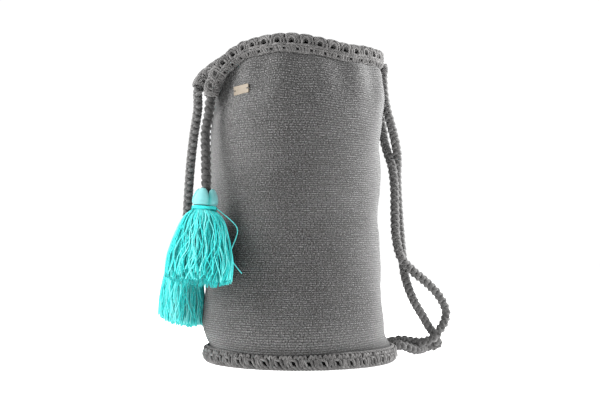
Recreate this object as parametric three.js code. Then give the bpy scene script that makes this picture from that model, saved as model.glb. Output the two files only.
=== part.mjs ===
// Knitted bucket backpack: a gathered knit wall between a crocheted rim casing and a crocheted base band,
// a drawstring with two thread tassels at the front and two rope straps at the back.
// Millimetres, +Z up, origin on the floor under the middle of the base, front towards -Y.
import * as THREE from 'three';

// Gap that pieces keep where they touch
const clearance = 0.3;

// Base band and base disc
const baseRadius = 115;
const bandThickness = 5.4;
const bandHeight = 19;
const bandEyeletCount = 44;
const bandEyeletWidth = 5;
const bandEyeletBottom = 5.2;
const bandEyeletHeight = 6;
const bandEdgeRound = 4.2;
const discThickness = 4;
const discEdgeRound = 1.2;
const discSides = 32;

// Rim casing: a hollow crocheted tube round the mouth, open at its two drooping front ends
const rimTop = 372;
const rimRadius = 99;
const rimCentreY = 2;
const rimWidth = 17;
const rimHeight = 21;
const rimWall = 2;
const rimEyeletPitch = 15.1;
const rimScallop = 0.8;
const rimLeaveAngle = 30;
const rimLeaveLength = 14;
const rimEndNear = [19, -116, 307];
const rimEndFar = [-15, -120.5, 322];
const rimEndLengthNear = 30;
const rimEndLengthFar = 18;
const rimEndHeight = 16;
const rimEndTaper = 60;
const rimInwardTilt = 0.1;

// Sag of the casing: angle from the front and rise
const rimSag = [
  [30, 0], [45, 1], [56, 1.5], [70, -0.7], [89, -5.5], [104, -8.5], [125, -7], [140, -6.5], [160, -2.5],
  [200, -1], [330, 0],
];

// Casing section as shares of its half width, outwards, and half height, upwards
const rimSection = [
  [0.5, -1], [0.92, -0.7], [1, -0.15], [0.92, 0.55], [0.45, 1], [-0.45, 1], [-1, -0.1], [-0.5, -1],
];
const rimLowerRow = 1;
const rimUpperRow = 2;
const rimEyeletShare = 0.56;

// Knit wall; its profile is shares of the height from the band's top to the shoulder, how far the wall stands
// inside the base's radius, and its lean towards +Y
const wallThickness = 3;
const wallTuck = 2.2;
const shoulderDrop = 11;
const shoulderRadius = 98.5;
const shoulderLean = 2;
const wallProfile = [
  [0.03, 8.5, -5.5], [0.08, 7.5, -8.5], [0.2, 10.5, -8.5], [0.37, 13.2, -6.8], [0.5, 14.6, -6.4],
  [0.6, 13.2, -6.2], [0.72, 14, -6], [0.82, 14.4, -4], [0.91, 15.4, 1.5],
];
const wallRows = [0.03, 0.08, 0.17, 0.28, 0.4, 0.5, 0.61, 0.72, 0.82, 0.91, 1];
const innerRowSkips = [0.03, 0.17, 0.28, 0.4, 0.61, 0.82];
const lipRows = 3;
const gatherCount = 13;
const gatherDepth = 1.8;
const gatherStart = 0.8;

// Front lip: the wall is pulled out under the casing's ends above a curved crease
const lipHalfAngle = 24;
const lipSlack = 1.8;
const seatGap = 0.5;
const creaseHeight = 284;
const lipColumns = 20;
const sideColumns = 33;

// Soft dents in the back of the wall: angle from the front, share of height, depth, half angle, half share
const dents = [
  [165, 0.725, 2.4, 38, 0.07],
  [160, 0.46, 2.6, 34, 0.1],
];

// Ropes: routes as centre-line points
const ropeDiameter = 9;
const ropeSides = 8;
const heldRopeSides = 6;
const ropeStep = 22;
const heldRopeStep = 15;
const heldRopeSeatOut = 0.5;
const heldRopeSlack = 1.1;
const strapNearRoute = [
  [10, 105.4, 359], [10, 105.4, 340], [10, 107.2, 318], [9.5, 110.8, 302], [8.5, 115.3, 289],
  [6, 122.5, 268], [0.5, 129, 246], [-6, 131.5, 222], [-7.5, 134, 181], [-7, 136.8, 143], [-6, 139, 117],
  [-3.5, 140.3, 99], [-1, 144, 83], [1, 151.5, 65], [0.5, 163, 47.5], [-1.5, 173, 33], [-3.5, 181, 24.5],
  [-6.5, 188.5, 18], [-10, 193.5, 11.8], [-14.5, 192.5, 8], [-17, 185, 7], [-14.5, 176, 6.5], [-9, 168, 6.5],
  [-2, 160, 6.5], [4.5, 151, 7], [8, 142, 9], [9.5, 132, 12.5], [8.5, 122, 13.5], [8, 115.6, 13.5],
];
const strapFarRoute = [
  [-10, 105.4, 359], [-10, 105.4, 340], [-10, 106.8, 318], [-9.5, 109.5, 300], [-8.5, 113.5, 278],
  [-7.5, 115.6, 263], [-3.5, 118.2, 249], [3, 120.3, 234], [7.5, 121.8, 205], [9, 121.3, 174],
  [9, 123.1, 143], [8, 131, 119], [8, 147, 103], [7, 167, 88.5], [7, 184, 72], [9, 192.8, 53], [12, 188, 40],
  [13, 179.5, 30], [10, 171, 21.5], [3, 162, 17], [-3.5, 152.5, 17], [-6, 143.5, 18.5],
  [-7.5, 134, 18.5], [-8, 124, 16], [-8, 115.6, 14],
];
const drawstringNearRoute = [
  [21, -119, 284], [24, -123, 266], [31, -124.6, 240], [38.5, -126.2, 218], [42.9, -127, 204],
  [44, -128, 192],
];
const drawstringFarRoute = [
  [-17.5, -122, 298], [-22, -125.6, 265], [-28, -128, 230], [-35, -129.2, 186], [-39.2, -129.6, 156],
  [-40, -130.3, 143],
];

// Tassels: heights measured from the end of the rope, which sits in the cap's socket
const tasselSides = 16;
const capRadius = 14.5;
const capCrest = 7;
const capNeckTop = -12.5;
const capFoot = 0.86;
const capNotch = 5;
const capPetals = 4;
const capPetalTurn = 31;
const capSocketSlack = 0.8;
const bindingWidth = 4;
const bindingThickness = 2.4;
const neckRadius = 11;
const skirtLength = 86;
const skirtTopRadius = 13;
const skirtRidges = 10;
const skirtRidgeDepth = 1.6;
const skirtHemRise = 11;
const skirtFlare = [[0, 0.12], [0.15, 0.43], [0.5, 0.8], [1, 1]];
const tasselNear = { turn: 19, lean: 5.5, halfWidth: 47, halfDepth: 30.5 };
const tasselFar = { turn: -18, lean: 4.4, halfWidth: 42, halfDepth: 27 };

// Loose thread end out of the near tassel's binding
const threadDiameter = 1.2;
const threadStep = 7;
const threadSides = 4;
const threadRoute = [
  [52.9, -117.5, 176.5], [59.2, -106, 166], [63, -98.8, 158], [64.6, -97, 152], [65, -99.8, 142],
  [63.2, -104, 130], [60.8, -103.2, 121], [62.4, -97.4, 112], [66.4, -92.6, 105],
];

// Blank label plate sewn on under the rim
const plateWidth = 23;
const plateHeight = 10;
const plateThickness = 1.5;
const plateCorner = 1;
const plateHoleRadius = 0.8;
const plateHoleInset = 2.4;
const plateAngle = 28.4;
const plateDrop = 28;
const plateTilt = 5;

// Worked-out places
const bandInnerRadius = baseRadius - bandThickness;
const wallFootRadius = bandInnerRadius - clearance;
const wallFootHeight = discThickness + clearance;
const rimMidHeight = rimTop - rimHeight / 2;
const rimMidRadius = rimRadius - rimWidth / 2;
const shoulderHeight = rimTop - rimHeight - shoulderDrop;
const plateCentreHeight = shoulderHeight - plateDrop;
const ropeRadius = ropeDiameter / 2;
const neckBottom = capNeckTop - bindingWidth - 2 * clearance;

const knitGrey = 0x6c696c;
const crochetGrey = 0x66646a;
const ropeGrey = 0x5c5a5c;
const turquoise = 0x39cdc6;
const plateCream = 0xd9cfba;

const bag = new THREE.Group();

function addPiece(parent, name, geometry, colour, roughness = 0.95, metalness = 0) {
  const material = new THREE.MeshStandardMaterial({ color: colour, roughness, metalness });
  const mesh = new THREE.Mesh(geometry, material);
  mesh.name = name;
  parent.add(mesh);
  return mesh;
}

function radians(degrees) {
  return THREE.MathUtils.degToRad(degrees);
}

// Point at an angle from the front, counted towards +X, about an axis moved along Y
function polar(angle, radius, height, centreY = 0) {
  const turn = radians(angle);
  return new THREE.Vector3(radius * Math.sin(turn), centreY - radius * Math.cos(turn), height);
}

// Closed body from four-cornered faces, turned so that the faces point out
function bodyFromFaces(faces) {
  const triangles = faces.flatMap((face) => {
    const [a, b, c, d] = face;
    return d ? [[a, b, c], [a, c, d]] : [[a, b, c]];
  });
  const normal = new THREE.Vector3();
  let volume = 0;
  for (const [a, b, c] of triangles) {
    volume += a.dot(normal.crossVectors(b, c));
  }
  const ordered = volume > 0 ? triangles : triangles.map(([a, b, c]) => [a, c, b]);
  const geometry = new THREE.BufferGeometry().setFromPoints(ordered.flat());
  geometry.computeVertexNormals();
  return geometry;
}

// Faces between two closed rings of points
function ringFaces(lower, upper) {
  return lower.map((point, i) => {
    const next = (i + 1) % lower.length;
    return [point, lower[next], upper[next], upper[i]];
  });
}

// Solid through a stack of rings, closed by a centre point below and above
function stackedRings(rings, bottom, top) {
  const faces = rings.slice(1).flatMap((ring, i) => ringFaces(rings[i], ring));
  const first = rings[0];
  const last = rings.at(-1);
  first.forEach((point, i) => {
    const next = (i + 1) % first.length;
    faces.push([first[next], point, bottom]);
    faces.push([last[i], last[next], top]);
  });
  return bodyFromFaces(faces);
}

// Smooth value at t through knots whose first number is the place
function through(knots, t, column) {
  const last = knots.length - 1;
  const found = knots.findIndex((knot) => knot[0] >= t);
  const i = found < 0 ? last : Math.max(found, 1);
  const slope = (k) => {
    const before = knots[Math.max(k - 1, 0)];
    const after = knots[Math.min(k + 1, last)];
    return (after[column] - before[column]) / (after[0] - before[0]);
  };
  const [a, b] = [knots[i - 1], knots[i]];
  const span = b[0] - a[0];
  const s = THREE.MathUtils.clamp((t - a[0]) / span, 0, 1);
  const rise = b[column] - a[column];
  const start = slope(i - 1) * span;
  const end = slope(i) * span;
  return a[column] + s * start + s * s * (3 * rise - 2 * start - end) + s * s * s * (start + end - 2 * rise);
}

// Middle of the casing at an angle from the front
function casingPoint(angle) {
  return polar(angle, rimMidRadius, rimMidHeight + through(rimSag, angle, 1), rimCentreY);
}

// Centre line of the casing, from its near end round the back of the mouth to its far end
function rimPath() {
  const endCurve = (side, place, handle) => {
    const end = new THREE.Vector3(...place);
    const leave = casingPoint((360 + side * rimLeaveAngle) % 360);
    const along = polar(side * (rimLeaveAngle - 90), rimLeaveLength, 0);
    const above = new THREE.Vector3(0, rimInwardTilt * handle / 3, handle);
    return new THREE.CubicBezierCurve3(leave, leave.clone().add(along), end.clone().add(above), end);
  };
  const arcSteps = 28;
  const arc = [];
  for (let i = 1; i < arcSteps; i += 1) {
    const angle = rimLeaveAngle + ((360 - 2 * rimLeaveAngle) * i) / arcSteps;
    arc.push(casingPoint(angle));
  }
  const near = endCurve(1, rimEndNear, rimEndLengthNear).getPoints(6).reverse();
  const far = endCurve(-1, rimEndFar, rimEndLengthFar).getPoints(6);
  return new THREE.CatmullRomCurve3([...near, ...arc, ...far]);
}

// Place on the casing's centre line with its outward and under directions and its half height there
function rimFrame(path, share) {
  const centre = path.getPointAt(share);
  const along = path.getTangentAt(share);
  const inward = new THREE.Vector3(-centre.x, rimCentreY - centre.y, 0).normalize();
  const under = new THREE.Vector3(0, 0, -1).addScaledVector(inward, rimInwardTilt);
  under.addScaledVector(along, -under.dot(along)).normalize();
  const out = new THREE.Vector3().crossVectors(under, along);
  const fromEnd = Math.min(share, 1 - share) * path.getLength();
  const full = THREE.MathUtils.smoothstep(fromEnd, 0, rimEndTaper);
  return { centre, out, under, half: THREE.MathUtils.lerp(rimEndHeight, rimHeight, full) / 2 };
}

// Ring of the casing's section, drawn in by an inset
function rimRing(frame, inset, scallop) {
  return rimSection.map(([outShare, upShare]) => {
    const out = outShare * (rimWidth / 2 - inset);
    const lift = upShare > 0 ? scallop : 0;
    const up = upShare * (frame.half - inset + lift);
    return frame.centre.clone().addScaledVector(frame.out, out).addScaledVector(frame.under, -up);
  });
}

// Four corners drawn in towards their middle
function drawnIn(corners, share) {
  const middle = new THREE.Vector3();
  corners.forEach((corner) => middle.addScaledVector(corner, 1 / corners.length));
  return corners.map((corner) => middle.clone().lerp(corner, share));
}

function rimBand(path) {
  const stations = 2 * Math.round(path.getLength() / rimEyeletPitch);
  const outer = [];
  const inner = [];
  for (let i = 0; i <= stations; i += 1) {
    const frame = rimFrame(path, i / stations);
    outer.push(rimRing(frame, 0, i % 2 ? rimScallop : 0));
    inner.push(rimRing(frame, rimWall, 0));
  }
  const corners = (rings, i, j) => {
    const next = (j + 1) % rimSection.length;
    return [rings[i][j], rings[i][next], rings[i + 1][next], rings[i + 1][j]];
  };
  const faces = [];
  for (let i = 0; i < stations; i += 1) {
    const eyeletRow = i % 2 ? rimUpperRow : rimLowerRow;
    rimSection.forEach((_, j) => {
      const outside = corners(outer, i, j);
      const inside = corners(inner, i, j);
      if (j !== eyeletRow) {
        faces.push(outside, inside.reverse());
        return;
      }
      const mouth = drawnIn(outside, rimEyeletShare);
      const back = drawnIn(inside, rimEyeletShare);
      faces.push(...ringFaces(outside, mouth), ...ringFaces(mouth, back), ...ringFaces(back, inside));
    });
  }
  faces.push(...ringFaces(inner[0], outer[0]), ...ringFaces(outer[stations], inner[stations]));
  return bodyFromFaces(faces);
}

// Held length of the drawstring: it lies on the floor of the casing and ends at the casing's mouths
function heldDrawstring(path) {
  const count = Math.ceil(path.getLength() / heldRopeStep);
  const points = [];
  for (let i = 0; i <= count; i += 1) {
    const frame = rimFrame(path, i / count);
    const drop = frame.half - rimWall - ropeRadius - heldRopeSlack;
    frame.centre.addScaledVector(frame.under, drop).addScaledVector(frame.out, heldRopeSeatOut);
    points.push(frame.centre);
  }
  return points;
}

function rope(points, diameter = ropeDiameter, step = ropeStep, sides = ropeSides) {
  const path = new THREE.CatmullRomCurve3(points, false, 'centripetal');
  const corners = [];
  for (let i = 0; i < sides; i += 1) {
    const turn = (2 * Math.PI * i) / sides;
    corners.push(new THREE.Vector2(Math.cos(turn), Math.sin(turn)).multiplyScalar(diameter / 2));
  }
  const options = {
    steps: Math.ceil(path.getLength() / step),
    bevelEnabled: false,
    extrudePath: path,
  };
  return new THREE.ExtrudeGeometry(new THREE.Shape(corners), options);
}

function vectors(route) {
  return route.map((point) => new THREE.Vector3(...point));
}

// Free end of the drawstring, straight on from the held length and then down its route
function freeDrawstring(held, before, route) {
  const onward = held.clone().sub(before).normalize();
  const start = held.clone().addScaledVector(onward, clearance);
  const second = held.clone().addScaledVector(onward, ropeRadius);
  return [start, second, ...vectors(route)];
}

// Band round the foot, with one row of eyelets right through it
function baseBand() {
  const eyeletTop = bandEyeletBottom + bandEyeletHeight;
  const section = [
    [baseRadius - bandEdgeRound, 0],
    [baseRadius, bandEyeletBottom],
    [baseRadius, eyeletTop],
    [baseRadius - bandEdgeRound, bandHeight],
    [bandInnerRadius, bandHeight],
    [bandInnerRadius, eyeletTop],
    [bandInnerRadius, bandEyeletBottom],
    [bandInnerRadius, 0],
  ];
  const outerRow = 1;
  const innerRow = 5;
  const pitch = 360 / bandEyeletCount;
  const eyeletAngle = THREE.MathUtils.radToDeg(bandEyeletWidth / baseRadius);
  const rings = [];
  for (let i = 0; i < bandEyeletCount; i += 1) {
    for (const angle of [i * pitch, i * pitch + eyeletAngle]) {
      rings.push(section.map(([radius, height]) => polar(angle, radius, height)));
    }
  }
  const faces = [];
  rings.forEach((ring, i) => {
    const next = rings[(i + 1) % rings.length];
    const strip = ringFaces(ring, next);
    if (i % 2) {
      faces.push(...strip);
      return;
    }
    faces.push(...strip.filter((_, j) => j !== outerRow && j !== innerRow));
    const mouth = strip[outerRow];
    const [a, b, c, d] = strip[innerRow];
    faces.push(...ringFaces(mouth, [b, a, d, c]));
  });
  return bodyFromFaces(faces);
}

// Round base, flat underneath, with a soft edge
function baseDisc() {
  const radius = bandInnerRadius - clearance;
  const profile = [
    [0, 0], [radius - discEdgeRound, 0], [radius, discEdgeRound], [radius, discThickness], [0, discThickness],
  ];
  const points = profile.map(([x, y]) => new THREE.Vector2(x, y));
  return new THREE.LatheGeometry(points, discSides).rotateX(Math.PI / 2);
}

// Wall profile from the band's top to the shoulder
const wallKnots = [
  [0, wallFootRadius - wallTuck, 0],
  ...wallProfile.map(([share, inside, lean]) => [share, baseRadius - inside, lean]),
  [1, shoulderRadius, shoulderLean],
];

function angleFromFront(angle) {
  return Math.abs(((angle + 180) % 360) - 180);
}

function gathers(angle, share) {
  const clearOfLip = THREE.MathUtils.smoothstep(angleFromFront(angle), lipHalfAngle, 2 * lipHalfAngle);
  const grown = THREE.MathUtils.smoothstep(share, gatherStart, 1);
  return gatherDepth * clearOfLip * grown * Math.cos(radians(gatherCount * angle));
}

function dent(angle, share) {
  return dents.reduce((sum, [middle, level, depth, halfAngle, halfShare]) => {
    const a = (angle - middle) / halfAngle;
    const b = (share - level) / halfShare;
    return sum + depth * Math.exp(-2 * (a * a + b * b));
  }, 0);
}

// Outside of the wall at an angle and a share of the height up to the shoulder
function wallPoint(angle, share, inset = 0) {
  const radius = through(wallKnots, share, 1) + gathers(angle, share) - dent(angle, share) - inset;
  const height = bandHeight + clearance + share * (shoulderHeight - bandHeight - clearance);
  return polar(angle, radius, height, through(wallKnots, share, 2));
}

function shareAt(height) {
  return (height - bandHeight - clearance) / (shoulderHeight - bandHeight - clearance);
}

// Line under the casing that the wall's top edge follows, as angle from the front and point
function seatLine(path) {
  const samples = 240;
  const line = [];
  for (let i = 0; i <= samples; i += 1) {
    const frame = rimFrame(path, i / samples);
    const slack = lipSlack * (1 + frame.under.z);
    const seat = frame.centre.addScaledVector(frame.under, frame.half + seatGap + slack);
    const turn = THREE.MathUtils.radToDeg(Math.atan2(seat.x, -seat.y));
    line.push({ angle: i > samples / 2 ? (turn + 360) % 360 : turn, seat });
  }
  return line;
}

// Top edge of the wall at an angle; between the casing's ends it runs straight across
function seatAt(line, angle) {
  const last = line.at(-1);
  const first = line[0];
  const across = 360 - last.angle + first.angle;
  if (angle < first.angle || angle > last.angle) {
    const past = (angle > last.angle ? angle : angle + 360) - last.angle;
    return last.seat.clone().lerp(first.seat, past / across);
  }
  const i = Math.max(line.findIndex((entry) => entry.angle >= angle), 1);
  const [a, b] = [line[i - 1], line[i]];
  return a.seat.clone().lerp(b.seat, (angle - a.angle) / (b.angle - a.angle));
}

// One upright column of the wall from its foot to its seat under the casing
function wallColumn(line, angle, rows, inset) {
  const nearness = Math.min(angleFromFront(angle) / lipHalfAngle, 1);
  const topShare = shareAt(creaseHeight + (shoulderHeight - creaseHeight) * nearness * nearness);
  const foot = [wallFootHeight, (wallFootHeight + bandHeight) / 2];
  const column = foot.map((height) => polar(angle, wallFootRadius - inset, height));
  column.push(...[0, ...rows].map((row) => wallPoint(angle, row * topShare, inset)));
  const crease = wallPoint(angle, topShare, inset);
  const seat = seatAt(line, angle);
  const seatOut = new THREE.Vector3(seat.x, seat.y, 0).normalize();
  seat.addScaledVector(seatOut, -inset);
  for (let i = 1; i <= lipRows; i += 1) {
    const turn = (Math.PI / 2) * (i / lipRows);
    const point = crease.clone().lerp(seat, 1 - Math.cos(turn));
    point.z = crease.z + (seat.z - crease.z) * Math.sin(turn);
    column.push(point);
  }
  return column;
}

function bodyFabric(path) {
  const line = seatLine(path);
  const angles = [];
  for (let i = 0; i < lipColumns; i += 1) {
    angles.push(((2 * i) / lipColumns - 1) * lipHalfAngle);
  }
  for (let i = 0; i < sideColumns; i += 1) {
    angles.push(lipHalfAngle + ((360 - 2 * lipHalfAngle) * i) / sideColumns);
  }
  const innerRows = wallRows.filter((row) => !innerRowSkips.includes(row));
  const loops = angles.map((angle) => {
    const turn = (angle + 360) % 360;
    const outside = wallColumn(line, turn, wallRows, 0);
    const inside = wallColumn(line, turn, innerRows, wallThickness);
    return [...outside, ...inside.reverse()];
  });
  return bodyFromFaces(loops.flatMap((loop, i) => ringFaces(loop, loops[(i + 1) % loops.length])));
}

function circleRing(count, height, radiusAt) {
  const ring = [];
  for (let i = 0; i < count; i += 1) {
    const turn = (2 * Math.PI * i) / count;
    const [x, y] = radiusAt(turn, i);
    ring.push(new THREE.Vector3(x * Math.cos(turn), y * Math.sin(turn), height(turn)));
  }
  return ring;
}

// Petal-topped cap with a socket for the rope and a neck for the binding
function tasselCap() {
  const socket = ropeRadius + capSocketSlack;
  const floor = -clearance;
  const crest = (turn) => capCrest - capNotch * (0.5 - 0.5 * Math.cos(capPetals * turn));
  const lipThickness = (capRadius - socket) / 2;
  const rows = [
    [neckRadius, () => neckBottom],
    [neckRadius, () => capNeckTop],
    [capRadius * capFoot, () => capNeckTop + clearance],
    [capRadius, () => (capNeckTop + floor) / 2],
    [socket + lipThickness, crest],
    [socket, (turn) => (crest(turn) + floor) / 2],
    [socket, () => floor],
  ];
  const rings = rows.map(([radius, height]) => circleRing(tasselSides, height, () => [radius, radius]));
  const cap = stackedRings(rings, new THREE.Vector3(0, 0, neckBottom), new THREE.Vector3(0, 0, floor));
  return cap.rotateZ(radians(capPetalTurn));
}

// Turns of thread round the cap's neck
function tasselBinding() {
  const inner = neckRadius + clearance;
  const outer = inner + bindingThickness;
  const valley = outer - bindingThickness / 3;
  const top = capNeckTop - clearance;
  const profile = [
    [inner, top - bindingWidth], [valley, top - bindingWidth], [outer, top - bindingWidth / 2], [valley, top],
    [inner, top], [inner, top - bindingWidth],
  ];
  const points = profile.map(([x, y]) => new THREE.Vector2(x, y));
  return new THREE.LatheGeometry(points, tasselSides).rotateX(Math.PI / 2);
}

// Flared bundle of threads with ridges down it and a hem that bulges downwards
function tasselSkirt({ halfWidth, halfDepth }) {
  const top = neckBottom - clearance;
  const rings = skirtFlare.map(([down, spread]) => {
    const height = top - (skirtLength - skirtHemRise) * down;
    return circleRing(2 * skirtRidges, () => height, (turn, i) => {
      const ridge = i % 2 ? -skirtRidgeDepth * spread : 0;
      return [halfWidth, halfDepth].map((half) => THREE.MathUtils.lerp(skirtTopRadius, half, spread) + ridge);
    });
  });
  const lowest = new THREE.Vector3(0, 0, top - skirtLength);
  return stackedRings(rings.reverse(), lowest, new THREE.Vector3(0, 0, top));
}

// Tassel hung on a rope's end, turned to face out from the wall and leaning on it
function addTassel(name, ropeEnd, form) {
  const tassel = new THREE.Group();
  tassel.position.copy(ropeEnd);
  tassel.rotation.set(radians(-form.lean), 0, radians(form.turn), 'ZXY');
  addPiece(tassel, `${name}_cap`, tasselCap(), turquoise, 0.8);
  addPiece(tassel, `${name}_binding`, tasselBinding(), turquoise, 0.8);
  addPiece(tassel, `${name}_skirt`, tasselSkirt(form), turquoise, 0.8);
  bag.add(tassel);
}

// Rounded plate with two sewing holes, lying on the wall
function labelPlate() {
  const [x, y, r] = [plateWidth / 2, plateHeight / 2, plateCorner];
  const shape = new THREE.Shape();
  shape.absarc(x - r, y - r, r, 0, Math.PI / 2);
  shape.absarc(r - x, y - r, r, Math.PI / 2, Math.PI);
  shape.absarc(r - x, r - y, r, Math.PI, 1.5 * Math.PI);
  shape.absarc(x - r, r - y, r, 1.5 * Math.PI, 2 * Math.PI);
  for (const side of [-1, 1]) {
    const hole = new THREE.Path();
    hole.absarc(side * (x - plateHoleInset), 0, plateHoleRadius, 0, 2 * Math.PI);
    shape.holes.push(hole);
  }
  return new THREE.ExtrudeGeometry(shape, { depth: plateThickness, bevelEnabled: false, curveSegments: 4 });
}

// Furthest that the wall stands out under the plate, measured along the plate's own facing
function wallReachUnderPlate() {
  const facing = polar(plateAngle, 1, 0);
  const halfAngle = THREE.MathUtils.radToDeg(plateWidth / 2 / shoulderRadius);
  let reach = 0;
  for (let i = -4; i <= 4; i += 1) {
    for (const height of [-plateHeight / 2, 0, plateHeight / 2]) {
      const point = wallPoint(plateAngle + (i * halfAngle) / 4, shareAt(plateCentreHeight + height));
      reach = Math.max(reach, point.dot(facing));
    }
  }
  return reach;
}

const casing = rimPath();
const held = heldDrawstring(casing);
const nearEnd = freeDrawstring(held[0], held[1], drawstringNearRoute);
const farEnd = freeDrawstring(held.at(-1), held.at(-2), drawstringFarRoute);

addPiece(bag, 'base_disc', baseDisc(), crochetGrey);
addPiece(bag, 'base_band', baseBand(), crochetGrey);
addPiece(bag, 'body_fabric', bodyFabric(casing), knitGrey);
addPiece(bag, 'rim_band', rimBand(casing), crochetGrey);
addPiece(bag, 'drawstring_in_rim', rope(held, ropeDiameter, heldRopeStep, heldRopeSides), ropeGrey);
addPiece(bag, 'drawstring_end_near', rope(nearEnd), ropeGrey);
addPiece(bag, 'drawstring_end_far', rope(farEnd), ropeGrey);
addTassel('tassel_near', nearEnd.at(-1), tasselNear);
addTassel('tassel_far', farEnd.at(-1), tasselFar);
const tail = rope(vectors(threadRoute), threadDiameter, threadStep, threadSides);
addPiece(bag, 'tassel_tail_thread', tail, turquoise, 0.8);
addPiece(bag, 'strap_near', rope(vectors(strapNearRoute)), ropeGrey);
addPiece(bag, 'strap_far', rope(vectors(strapFarRoute)), ropeGrey);

const plate = addPiece(bag, 'label_plate', labelPlate(), plateCream, 0.45, 0.3);
plate.position.copy(polar(plateAngle, wallReachUnderPlate() + clearance, plateCentreHeight));
plate.rotateZ(radians(plateAngle));
plate.rotateX(Math.PI / 2);
plate.rotateZ(radians(plateTilt));

export default bag;
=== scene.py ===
# Knitted bucket backpack: a knit wall between a crocheted rim casing and a crocheted base band, a braided
# drawstring with thread tassels at the front and braided rope straps at the back.
# Sizes are in millimetres, +Z up, front towards -Y, origin on the floor under the middle of the base.
import math

import bpy
import numpy as np
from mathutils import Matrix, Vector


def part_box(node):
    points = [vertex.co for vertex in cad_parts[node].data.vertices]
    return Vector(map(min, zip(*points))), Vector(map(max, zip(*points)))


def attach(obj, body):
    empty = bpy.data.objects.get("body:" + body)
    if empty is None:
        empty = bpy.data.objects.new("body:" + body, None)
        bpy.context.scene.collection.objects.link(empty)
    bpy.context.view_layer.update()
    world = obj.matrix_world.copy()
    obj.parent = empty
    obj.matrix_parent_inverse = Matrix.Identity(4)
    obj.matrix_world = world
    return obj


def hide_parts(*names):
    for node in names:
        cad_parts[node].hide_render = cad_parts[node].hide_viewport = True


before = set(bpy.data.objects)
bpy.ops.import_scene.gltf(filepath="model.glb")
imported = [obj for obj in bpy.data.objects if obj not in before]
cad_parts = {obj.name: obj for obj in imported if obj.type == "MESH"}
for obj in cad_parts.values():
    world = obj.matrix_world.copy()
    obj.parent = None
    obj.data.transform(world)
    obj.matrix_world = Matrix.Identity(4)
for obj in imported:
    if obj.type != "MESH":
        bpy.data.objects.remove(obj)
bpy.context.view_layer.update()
random = np.random.default_rng(11)

# Camera: where it stands and how far it looks up
CAMERA_AZIMUTH = 70
CAMERA_DISTANCE = 1200
CAMERA_HEIGHT = 137
CAMERA_LOOK_UP = 2.54
CAMERA_LENS = 60

# Lights: name, azimuth, then distance, height and size in metres, and watts
LIGHTS = (
    ("light_left", -13, 1.6, 1.0, 1.4, 72),
    ("light_right", 173, 1.6, 1.0, 1.4, 104),
    ("light_top", 70, 0.2, 2.2, 1.5, 15),
)
LIGHT_AIM_HEIGHT = 0.18
FLOOR_SIZE = 12
FLOOR_GLOW = 0.79
WORLD_LIGHT = 0.24
WORLD_SEEN = 1.05

# Base band and base disc
CLEARANCE = 0.3
BASE_RADIUS = 115
BAND_THICKNESS = 5.4
BAND_HEIGHT = 19
BAND_ROUND = 4.6
BAND_YARN = 1.4
BAND_BACKING = -1.1
BAND_PITCH_STEPS = 16
BAND_UP_STEPS = 22
BASE_INNER_RADIUS = BASE_RADIUS - BAND_THICKNESS - CLEARANCE
DISC_THICKNESS = 4
DISC_ROUNDS = 17
DISC_HUMP = 7

# Eyelets of the base band and slits over them: place in the pitch, then height, half width and half height
BAND_EYELETS = 44
BAND_EYELET_PLACE = 0.14
BAND_EYELET_FORM = (8.2, 2.4, 3.6)
BAND_SLIT_PLACE = 0.02
BAND_SLIT_FORM = (14.8, 1.8, 1.1)
BAND_SLANT = -0.5

# Rim casing
RIM_TOP = 372
RIM_RADIUS = 99
RIM_CENTRE_Y = 2
RIM_WIDTH = 17
RIM_HEIGHT = 21
RIM_WALL = 2
RIM_LEAVE_ANGLE = 30
RIM_LEAVE_LENGTH = 14
RIM_END_NEAR = (19, -116, 307)
RIM_END_FAR = (-15, -120.5, 322)
RIM_END_LENGTH_NEAR = 30
RIM_END_LENGTH_FAR = 11
RIM_END_HEIGHT = 16
RIM_END_TAPER = 60
RIM_INWARD_TILT = 0.1
RIM_YARN = 1.45
RIM_BACKING = -1.2
RIM_END_BACKING_RISE = 0.8
RIM_PITCH_STEPS = 14
RIM_ROUND_STEPS = 55
RIM_MID_HEIGHT = RIM_TOP - RIM_HEIGHT / 2
RIM_MID_RADIUS = RIM_RADIUS - RIM_WIDTH / 2

# Two staggered rows of eyelets in the casing: place in the pitch, then height, half width and half height
RIM_EYELETS = 42
RIM_CLOSED_PITCHES = 2
RIM_UPPER_PLACE = 0.75
RIM_UPPER_FORM = (1.5, 2.1, 2.3)
RIM_LOWER_PLACE = 0.25
RIM_LOWER_FORM = (-5.2, 2.3, 1.9)

# Sag of the casing: angle from the front and rise
RIM_SAG = (
    (30, -2.5), (45, 0), (56, 1.2), (70, -0.7), (89, -5.5), (104, -8.5), (125, -7), (140, -6.5), (160, -2.5),
    (200, -1), (300, 0), (316, -1.5), (330, -5),
)

# Knit wall; its knots are a share of the height, the radius there and the lean towards +Y
WALL_THICKNESS = 3
WALL_TUCK = 2.2
WALL_FOOT_HEIGHT = DISC_THICKNESS + CLEARANCE
SHOULDER_HEIGHT = RIM_TOP - RIM_HEIGHT - 11
WALL_KNOTS = (
    (0, BASE_INNER_RADIUS - WALL_TUCK, 0), (0.03, 106.5, -5.5), (0.08, 107.5, -8.5), (0.2, 104.5, -8.5),
    (0.37, 101.8, -6.8), (0.5, 100.8, -6.2), (0.6, 102, -6.2), (0.72, 102, -5.8), (0.82, 101.8, -3.8),
    (0.91, 100.6, 1.5), (1, 96.6, 2),
)
GATHER_COUNT = 13
GATHER_DEPTH = 1.8
GATHER_START = 0.8
DENTS = ((165, 0.725, 2.4, 38, 0.07), (160, 0.46, 2.6, 34, 0.1))
LIP_HALF_ANGLE = 24
LIP_SLACK = 1.8
# Painted shade on the knit under the lip, between the casing's ends
LIP_SHADE = 0.65
SEAT_TUCK = 1.2
SEAT_SOFTNESS = 9
CREASE_HEIGHT = 284
YOKE_HEIGHT = 250
LEVEL_SHARE = 0.73
# Painted shade on the knit: full on the foot rows inside the band, then fading over this many rows above it
FOOT_SHADE = 0.75
FOOT_SHADE_ROWS = 16
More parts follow.
